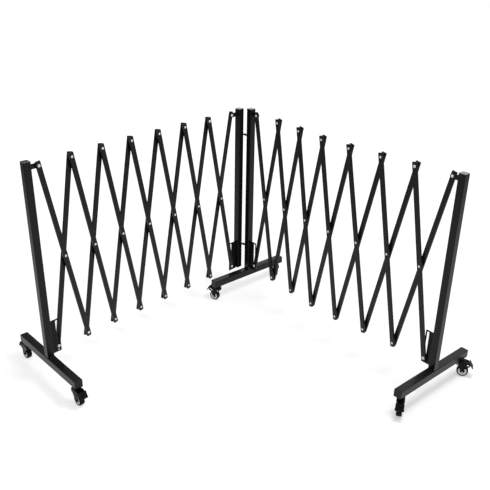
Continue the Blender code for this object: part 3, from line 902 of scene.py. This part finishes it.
@dataclass
class Beam:
    """A base beam of square tube with a plug in each end."""

    name: str
    body: str
    base: Matrix
    plug: float = 0.0026
    plug_margin: float = 0.0006

    def build(self) -> None:
        """Build the tube and its two plugs."""
        half, middle, spot = BEAM_LENGTH / 2, (BEAM_BOTTOM + BEAM_TOP) / 2, self.base @ UPRIGHT
        tube = plate([tube_outline(BEAM_WIDTH, middle)], -half + self.plug, half - self.plug, SHEET_EDGE)
        build_piece(f"{self.name}_tube", [(tube, spot)], TUBE_PAINT, self.body, self.name)
        face = [tube_outline(BEAM_WIDTH - self.plug_margin, middle)]
        ends = ((-half, -half + self.plug - SEAM), (half - self.plug + SEAM, half))
        parts = [(plate(face, low, high, CAP_EDGE, 3), spot) for low, high in ends]
        build_piece(f"{self.name}_plugs", parts, PLUG_PLASTIC, self.body)


@dataclass
class Hinge:
    """The pins of the middle hinge."""

    base: Matrix
    body: str = "centre_stand"
    radius: float = 0.003
    head: float = 0.0044
    rise: float = 0.0010
    half: float = 0.0040

    def build(self, heights: Pair) -> None:
        """Build a domed pin at each height.

        Args:
            heights: middle heights of the lower and the upper pin.
        """
        dome_shares = ((0.0, 1.0), (0.6, 0.9), (1.0, 0.4), (1.0, 0.0))
        dome = [(share * self.head, -self.half - rise * self.rise) for share, rise in dome_shares]
        pin = turned(mirrored(dome + [(self.radius, -self.half)]), 24)
        for word, height in zip(("lower", "upper"), heights):
            name = f"hinge_pin_{word}"
            build_piece(f"{name}_domed", [(pin, self.base @ place(z=height))], PIN_BLACK, self.body, name)


@dataclass
class Caster:
    """One braked swivel caster: swivel race, fork, wheel and brake pedal."""

    name: str
    base: Matrix
    trail: float = 0.020
    wheel_radius: float = 0.0255
    wheel_width: float = 0.024
    leg_inner: float = 0.014
    leg_outer: float = 0.017
    crown_top: float = 0.0777
    crown_low: float = 0.0747
    foot_radius: float = 0.0060
    hub_radius: float = 0.0190
    hub_inner: float = 0.0104
    boss_radius: float = 0.0062
    spokes: int = 6
    brake: Pair = (0.014, 0.0667)
    roll: Pair = (-0.006, 0.0627)
    roll_radius: float = 0.0065
    roll_cut: float = 0.0012
    ear_holes: tuple[Pair, ...] = ((0.0305, 0.0600), (0.0400, 0.0645))
    ear_hole_radius: float = 0.0038
    metal_edge: float = 0.0005
    arm_end: float = 0.0377
    arm_thickness: float = 0.0020
    arm_eye: float = 0.0042
    web_half: float = 0.0013
    shoe_half: float = 0.0015
    shoe_x: float = 0.0141
    pin_radius: float = 0.0024
    pedal_width: float = 0.036
    pedal_rise: float = 0.0103
    pedal_drop: float = 0.0167
    pedal_slant: float = 0.6
    pedal_half: float = 0.0015
    rib_count: int = 5
    rib_first: float = 0.0065
    rib_pitch: float = 0.0050
    lip_radius: float = 0.0019

    def at(self, x: float, z: float) -> Matrix:
        """A frame on the middle plane of the caster."""
        return self.base @ place(x, 0, z)

    def leg_outline(self) -> Loop:
        """Draw the side view of a leg with its ear for the brake.

        Returns:
            The loop.
        """
        foot = arc(self.trail, self.wheel_radius, self.foot_radius, 0.0, -180.0, 14)
        corners = [(-0.010, 0.0737), (0.0340, 0.0737), (0.0425, 0.0725), (0.0490, 0.0560), (0.0300, 0.0490)]
        cuts = [0.0015, 0.002, 0.003, 0.003, 0.007]
        return eased(corners + foot, cuts + [0.0] * len(foot))

    def legs(self) -> Parts:
        """Make the two flat legs with their holes.

        Returns:
            The meshes and their places.
        """
        loops = [self.leg_outline()] + [ring(x, z, self.ear_hole_radius) for x, z in self.ear_holes]
        return [(plate(loops, low, high, self.metal_edge), self.base @ UPRIGHT)
                for low, high in ((-self.leg_outer, -self.leg_inner), (self.leg_inner, self.leg_outer))]

    def crown(self) -> Parts:
        """Make the folded top of the fork and the two cups of the swivel race.

        Returns:
            The meshes and their places.
        """
        back, front, low, edge, slack = -0.011, 0.031, 0.0700, 0.0006, 0.0002
        outer, inner = self.leg_outer - slack, self.leg_inner + slack
        section = [(-outer, low), (-outer, self.crown_top), (outer, self.crown_top), (outer, low),
                   (inner, low), (inner, self.crown_low), (-inner, self.crown_low), (-inner, low)]
        fold = eased(section, [0.0, 0.004, 0.004, 0.0, 0.0, 0.0015, 0.0015, 0.0])
        race = [(0.0, 0.0765), (0.0141, 0.0772), (0.0145, 0.0780), (0.0145, 0.0794), (0.0138, 0.0802),
                (0.0122, 0.0806), (0.0122, 0.0812), (0.0140, 0.0816), (0.0145, 0.0822), (0.0145, 0.0834),
                (0.0138, 0.0842), (0.0104, 0.0848), (0.0100, 0.0856), (0.0, 0.0856)]
        return [(plate([fold], back, front, edge), self.base @ ALONG_X), (turned(race, 32), self.base)]

    def cross_roll(self) -> tuple[Mesh, Matrix]:
        """Make the roll that spans the legs at the back.

        Returns:
            The mesh and its place.
        """
        half, radius, cut = self.leg_outer, self.roll_radius, self.roll_cut
        profile = mirrored([(0.0, -half), (radius - cut, -half), (radius, cut - half)])
        return turned(profile, 24), self.at(*self.roll) @ UPRIGHT

    def build_fork(self) -> None:
        """Build the fork and its bright fastenings."""
        body = f"{self.name}_fork"
        nut = turned([(0.0, -0.0005), (0.0046, -0.0005), (0.0048, 0.0004), (0.0048, 0.0018), (0.0040, 0.0024),
                      (0.0, 0.0024)], 6)
        tip = turned([(0.0, 0.0018), (0.0028, 0.0018), (0.0028, 0.0027), (0.0022, 0.0031), (0.0, 0.0032)], 20)
        dome = turned([(0.0, -0.0005), (0.0032, -0.0005), (0.0032, 0.0003), (0.0023, 0.0010), (0.0, 0.0013)],
                      20)
        stem = turned([(0.0, 0.0852), (0.0084, 0.0852), (0.0090, 0.0857), (0.0090, 0.0872), (0.0084, 0.0877),
                       (0.0, 0.0877)], 6)
        axle = (self.trail, self.wheel_radius)
        dark, bright = [*self.legs(), *self.crown(), self.cross_roll()], []
        fittings = ((dark, nut, axle), (dark, dome, self.brake), (bright, tip, axle),
                    (bright, dome, self.roll))
        for face in (UPRIGHT, THROUGH):
            for group, mesh, spot in fittings:
                group.append((mesh, self.at(*spot) @ face @ place(z=self.leg_outer)))
        bright.append((stem, self.base))
        build_piece(f"{body}_frame", dark, FORK_STEEL, body, body)
        build_piece(f"{body}_fastenings", bright, ZINC, body)

    def build_wheel(self) -> None:
        """Build the tyre, the pale hub ring, and the dark web with its spokes."""
        body = f"{self.name}_wheel"
        home = self.at(self.trail, self.wheel_radius) @ UPRIGHT
        half, hub, inner, boss = self.wheel_width / 2, self.hub_radius, self.hub_inner, self.boss_radius
        tyre = mirrored([(hub - 0.0002, half - 0.0022), (hub + 0.0004, half - 0.0006), (hub + 0.0010, half),
                         (0.0211, half), (0.0214, half - 0.0004), (0.0218, half), (0.0226, half - 0.0002),
                         (0.0241, half - 0.0013), (0.0251, half - 0.0032),
                         (self.wheel_radius, half - 0.0058)])
        build_piece(f"{body}_tyre", [(turned(tyre + tyre[:1], 48), home)], TYRE_RUBBER, body, body)
        rim_recess, root_overlap, boss_half, boss_edge, boss_round = 0.0009, 0.0003, 0.0126, 0.0118, 0.0006
        face = half - rim_recess
        rim = mirrored([(inner, face - 0.0030), (inner + 0.0004, face - 0.0006), (inner + 0.0012, face),
                        (hub - 0.0010, face), (hub, face - 0.0007)])
        build_piece(f"{body}_hub_ring", [(turned(rim + rim[:1], 48), home)], HUB_NYLON, body)
        bore, web_level, recess = 0.0033, 0.0040, 0.0015
        spoke_half, spoke_corner, spoke_sunk = 0.0014, 0.0004, 0.001
        root = inner + root_overlap
        web = mirrored([(bore, boss_half), (boss - boss_round, boss_half), (boss, boss_edge),
                        (boss + boss_round, web_level), (root, web_level)])
        spoke_loop = box_loop(boss - spoke_sunk, -spoke_half, root, spoke_half, spoke_corner, 2)
        spoke = plate([spoke_loop], recess - face, face - recess, SHEET_EDGE)
        parts = [(turned(web + web[:1], 32), home)]
        parts += [(spoke, home @ place(turn=360.0 * index / self.spokes)) for index in range(self.spokes)]
        build_piece(f"{body}_web", parts, WEB_NYLON, body)

    def build_brake(self) -> None:
        """Build the lever, two arms with a web and a shoe between them, and the ribbed pedal."""
        body = f"{self.name}_brake"
        home = self.at(*self.brake)
        inner, end, outer = self.leg_inner - SEAM, self.arm_end, self.leg_outer
        side_gap, web_start, shoe_low, shoe_high, corner = 0.0006, 0.003, -0.0128, 0.0005, 0.001
        width = inner - side_gap
        arm = arc(0.0, 0.0, self.arm_eye, 90.0, 270.0, 10)
        tail = [(0.026, -0.0048), (end + 0.0044, -0.0080), (end - 0.0014, 0.0022)]
        arm += eased(tail, [0.006, 0.001, 0.001])
        parts = [(plate([arm], low, low + self.arm_thickness, SHEET_EDGE), home @ UPRIGHT)
                 for low in (-inner, inner - self.arm_thickness)]
        web = [box_loop(web_start, -width, end, width, corner)]
        shoe = [box_loop(shoe_low, -width, shoe_high, width, corner)]
        pin = turned(mirrored([(0.0, -outer), (self.pin_radius, -outer)]), 16)
        parts += [(plate(web, -self.web_half, self.web_half, self.metal_edge), home),
                  (plate(shoe, -self.shoe_half, self.shoe_half, self.metal_edge),
                   home @ place(self.shoe_x) @ SIDEWAYS),
                  (pin, home @ UPRIGHT)]
        build_piece(f"{body}_lever", parts, FORK_STEEL, body, body)
        spot = home @ place(end - self.pedal_rise * self.pedal_slant, 0, self.pedal_rise) \
            @ Matrix.Rotation(math.atan2(1.0, self.pedal_slant), 4, "Y")
        half, thick = self.pedal_width / 2, self.pedal_half
        length = (self.pedal_rise + self.pedal_drop) * math.hypot(self.pedal_slant, 1.0)
        corner, edge, rib_half, rib_corner, rib_low, rib_top = 0.0035, 0.0007, 0.0010, 0.0009, 0.0010, 0.0022
        pad = plate([box_loop(0.0, -half, length, half, corner, 5)], -thick, thick, edge, 3)
        rib_loop = box_loop(-rib_half, corner - half, rib_half, half - corner, rib_corner, 3)
        rib = plate([rib_loop], rib_low, rib_top, SHEET_EDGE)
        lip_short, lip_cut, lip_round = 0.002, 0.001, 0.0005
        lip = turned(mirrored([(0.0, lip_short - half), (self.lip_radius - lip_round, lip_short - half),
                               (self.lip_radius, lip_short + lip_cut - half)]), 16)
        parts = [(pad, spot)]
        parts += [(rib, spot @ place(self.rib_first + self.rib_pitch * index))
                  for index in range(self.rib_count)]
        parts.append((lip, spot @ place(length - thick) @ UPRIGHT))
        build_piece(f"{body}_pedal", parts, PEDAL_COAT, body, body)

    def build(self) -> None:
        """Build the whole caster."""
        self.build_fork()
        self.build_wheel()
        self.build_brake()


def seen_mask(tree: Tree) -> object:
    """Make a mask that is one for camera, glossy and transmission rays.

    Args:
        tree: tree that gets the nodes.

    Returns:
        The socket with the mask.
    """
    path = add_node(tree, "ShaderNodeLightPath").outputs
    seen = maths(tree, "MAXIMUM", path["Is Camera Ray"], path["Is Glossy Ray"])
    return maths(tree, "MAXIMUM", seen, path["Is Transmission Ray"])


def squared_distance(tree: Tree, split: Node, middle: tuple[float, ...]) -> object:
    """The squared distance in X and Y of a point from a middle."""
    offsets = [maths(tree, "SUBTRACT", split.outputs[axis], start) for axis, start in zip("XY", middle)]
    return maths(tree, "ADD", *(maths(tree, "MULTIPLY", offset, offset) for offset in offsets))


@dataclass
class Studio:
    """The floor, the light and the camera."""

    focal_pixels: float = 685.7
    image_pixels: int = 490
    sensor: float = 36.0
    camera_reach: float = 50.0
    camera_height: float = 1.8352
    camera_side: float = -0.01888
    camera_back: float = -3.32038
    pitch: float = -25.37
    roll: float = 1.01
    floor_size: float = 14.0
    floor_colour: float = 0.80
    floor_roughness: float = 0.9
    floor_white: float = 1.03
    key_place: tuple[float, float, float] = (0.90, -0.50, 2.55)
    key_size: float = 0.85
    key_level: float = 0.44
    world_level: float = 0.45
    world_back: float = 1.0
    world_front: float = 0.45
    world_edge: Pair = (-0.35, 0.10)
    flag_from: tuple[float, float, float] = (-0.49, 0.75, 0.44)
    flag_edge: Pair = (0.905, 0.955)
    flag_dark: float = 0.20
    sweep_place: Pair = (0.5, 0.0)
    sweep_reach: Pair = (1.9, 4.3)
    sweep_end: float = 0.2
    headroom: float = 0.085

    def camera(self, middle: Vector) -> None:
        """Place the camera at the photograph's viewpoint.

        Args:
            middle: foot of the fixed middle post, from which the viewpoint is measured.
        """
        data = bpy.data.cameras.new("camera")
        data.sensor_width = self.sensor
        data.lens = self.focal_pixels / self.image_pixels * self.sensor
        data.clip_end = self.camera_reach
        spot = place(middle.x + self.camera_side, middle.y + self.camera_back, self.camera_height)
        tilt = Matrix.Rotation(math.radians(90.0 + self.pitch), 4, "X")
        roll = Matrix.Rotation(math.radians(self.roll), 4, "Z")
        bpy.context.scene.camera = add_object("camera", data, spot @ tilt @ roll)

    def dimmed(self, tree: Tree, split: Node) -> object:
        """A factor that darkens the far floor in reflections, where the studio ends.

        Args:
            tree: node tree of the floor.
            split: node with the separate coordinates of the point.

        Returns:
            The factor, one for everything but reflections.
        """
        distance = maths(tree, "SQRT", squared_distance(tree, split, self.sweep_place))
        lost = map_range(tree, distance, self.sweep_reach, (0.0, 1.0 - self.sweep_end))
        glossy = add_node(tree, "ShaderNodeLightPath").outputs["Is Glossy Ray"]
        return maths(tree, "SUBTRACT", 1.0, maths(tree, "MULTIPLY", lost, glossy))

    def floor(self) -> None:
        """A pale floor that keeps the shadows and looks white where nothing shades it."""
        bm = bmesh.new()
        bmesh.ops.create_grid(bm, x_segments=1, y_segments=1, size=self.floor_size)
        mesh = to_mesh(bm, "floor")
        floor = add_object("floor", mesh)
        material = bpy.data.materials.new("floor_white")
        material.use_nodes = True
        tree = material.node_tree
        pale = self.floor_colour
        point = add_node(tree, "ShaderNodeTexCoord").outputs["Object"]
        split = add_node(tree, "ShaderNodeSeparateXYZ", {0: point})
        square = squared_distance(tree, split, self.key_place)
        height = self.key_place[2] ** 2
        falloff = maths(tree, "DIVIDE", height, maths(tree, "ADD", square, height))
        falloff = maths(tree, "POWER", falloff, 2.0)
        lit = maths(tree, "MULTIPLY", falloff, pale * self.key_level)
        rest = self.floor_white + self.headroom - pale * self.world_level
        glow = maths(tree, "MULTIPLY", maths(tree, "SUBTRACT", rest, lit), seen_mask(tree))
        dim = self.dimmed(tree, split)
        wire(tree, tree.nodes["Principled BSDF"], {
            "Base Color": scaled_colour(tree, (pale, pale, pale), dim), "Roughness": self.floor_roughness,
            "Specular IOR Level": 0.0, "Emission Color": WHITE,
            "Emission Strength": maths(tree, "MULTIPLY", glow, dim)})
        mesh.materials.append(material)

    def world(self) -> None:
        """A white surrounding with a darker front and one dark screen high at the back left."""
        world = bpy.data.worlds.new("studio")
        bpy.context.scene.world = world
        world.use_nodes = True
        tree = world.node_tree
        direction = add_node(tree, "ShaderNodeTexCoord").outputs["Generated"]
        split = add_node(tree, "ShaderNodeSeparateXYZ", {0: direction})
        level = map_range(tree, split.outputs["Y"], self.world_edge, (self.world_front, self.world_back))
        toward = {0: direction, 1: Vector(self.flag_from).normalized()}
        near = add_node(tree, "ShaderNodeVectorMath", toward, operation="DOT_PRODUCT")
        flag = map_range(tree, near.outputs["Value"], self.flag_edge, (1.0, self.flag_dark))
        shine = maths(tree, "MULTIPLY", level, flag)
        path = add_node(tree, "ShaderNodeLightPath").outputs
        glossy = path["Is Glossy Ray"]
        dull = maths(tree, "MULTIPLY", maths(tree, "SUBTRACT", 1.0, glossy), self.world_level)
        mixed = maths(tree, "ADD", maths(tree, "MULTIPLY", shine, glossy), dull)
        shown = maths(tree, "MAXIMUM", path["Is Camera Ray"], path["Is Transmission Ray"])
        strength = maths(tree, "MAXIMUM", mixed, shown)
        wire(tree, tree.nodes["Background"], {"Color": WHITE, "Strength": strength})

    def lamp(self) -> None:
        """One large soft lamp above the right front."""
        lamp = bpy.data.lights.new("key", "AREA")
        lamp.size = self.key_size
        lamp.energy = self.key_level * (math.pi * self.key_place[2]) ** 2
        add_object("key", lamp, place(*self.key_place))


def build_barrier(layout: Layout) -> None:
    """Build the panels, posts, beams, hinge and casters.

    Args:
        layout: where the stands and panels stand.
    """
    fixed, hinged = layout.fixed(), layout.hinged()
    right_end, left_end = layout.right_end(), layout.left_end()
    left_x = -layout.left_reach - BAY_COUNT * layout.left_pitch
    right = Panel(Side.RIGHT, fixed, layout.right_reach, layout.right_pitch, layout.right_bow,
                  layout.right_bow_shares)
    left = Panel(Side.LEFT, hinged, left_x, layout.left_pitch, layout.left_bow, layout.left_bow_shares)
    right.build()
    left.build()
    right_foot, left_foot = right.pivot(Level.FOOT, 0).z, left.pivot(Level.FOOT, 0).z
    low = BEAM_TOP + SEAM
    posts = [Post("centre_post", "centre_stand", fixed, fixed, layout.right_reach, right_foot, low, -1),
             Post("hinged_post", "hinged_side", hinged, hinged, -layout.left_reach, left_foot,
                  low + HINGED_POST_LIFT, 1),
             Post("right_post", "right_stand", right_end, right_end, -END_REACH, right_foot, low),
             Post("left_post", "left_stand", left_end, layout.left_plate(), END_REACH, left_foot, low,
                  guide_root=LEFT_GUIDE_ROOT)]
    for post in posts:
        post.build()
    stands = {"left": left_end, "centre": fixed, "right": right_end}
    for key, base in stands.items():
        Beam(f"{key}_beam", f"{key}_stand", base).build()
    Hinge(layout.axis()).build(posts[0].hinge_heights)
    reach = BEAM_LENGTH / 2 - CASTER_INSET
    for key, heading in HEADINGS.items():
        stand, end = key.split("_")
        spot = stands[stand] @ place(0, -reach if end == "front" else reach, 0, heading)
        Caster(f"caster_{key}", spot).build()


def main() -> None:
    """Build every piece in order and report it."""
    logging.basicConfig(level=logging.INFO, format="%(message)s")
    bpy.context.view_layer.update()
    bpy.context.scene.view_settings.view_transform = "Standard"
    build_powder_coat()
    build_worn_metal()
    build_moulded()
    dress_nodes()
    layout = Layout()
    build_barrier(layout)
    studio = Studio()
    studio.floor()
    studio.world()
    studio.lamp()
    studio.camera(layout.fixed().translation)


if __name__ == "__main__":
    main()
